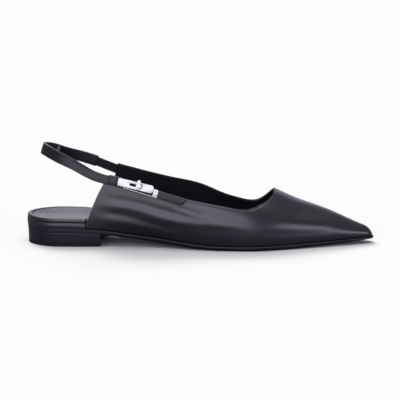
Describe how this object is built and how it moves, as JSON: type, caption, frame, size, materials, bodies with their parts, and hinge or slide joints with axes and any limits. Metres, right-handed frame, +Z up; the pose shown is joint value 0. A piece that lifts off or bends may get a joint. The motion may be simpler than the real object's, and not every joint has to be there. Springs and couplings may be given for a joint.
{
  "type": "sling back flat",
  "caption": "Right women's pointed flat shoe in black leather with an open back, a low heel, and a sling strap that shuts with a turning steel clasp.",
  "frame": {"origin": "on the floor, under the middle of the heel's walking face", "axes": "+X to the toe, +Y to the inner side of the foot, +Z up"},
  "size_m": [0.2682, 0.0766, 0.0769],
  "materials": {
    "black_leather": "smooth, semi-gloss",
    "sole_leather": "smooth, satin",
    "lift_rubber": "matt",
    "sock_leather": "smooth, satin",
    "grip_leather": "suede, matt",
    "elastic": "woven, matt",
    "steel": "polished"
  },
  "bodies": {
    "shoe": {"outsole": "sole_leather", "heel_block": "sole_leather", "heel_top_lift": "lift_rubber", "insole_board": "black_leather", "footbed": "sock_leather", "upper": "black_leather", "clasp_tab": "black_leather", "base_plate": "steel", "hasp_plate": "steel", "sling_strap": "black_leather", "heel_grip": "grip_leather", "strap_fold": "black_leather", "strap_elastic": "elastic"},
    "toggle": {"turn_toggle": "steel"}
  },
  "joints": [
    {"name": "toggle_turn", "type": "hinge", "parent": "shoe", "child": "toggle", "pos_m": [0.06035, -0.03379, 0.0486], "axis": [-0.0888, -0.9899, 0.1109], "range_deg": [0, 84.5]}
  ]
}
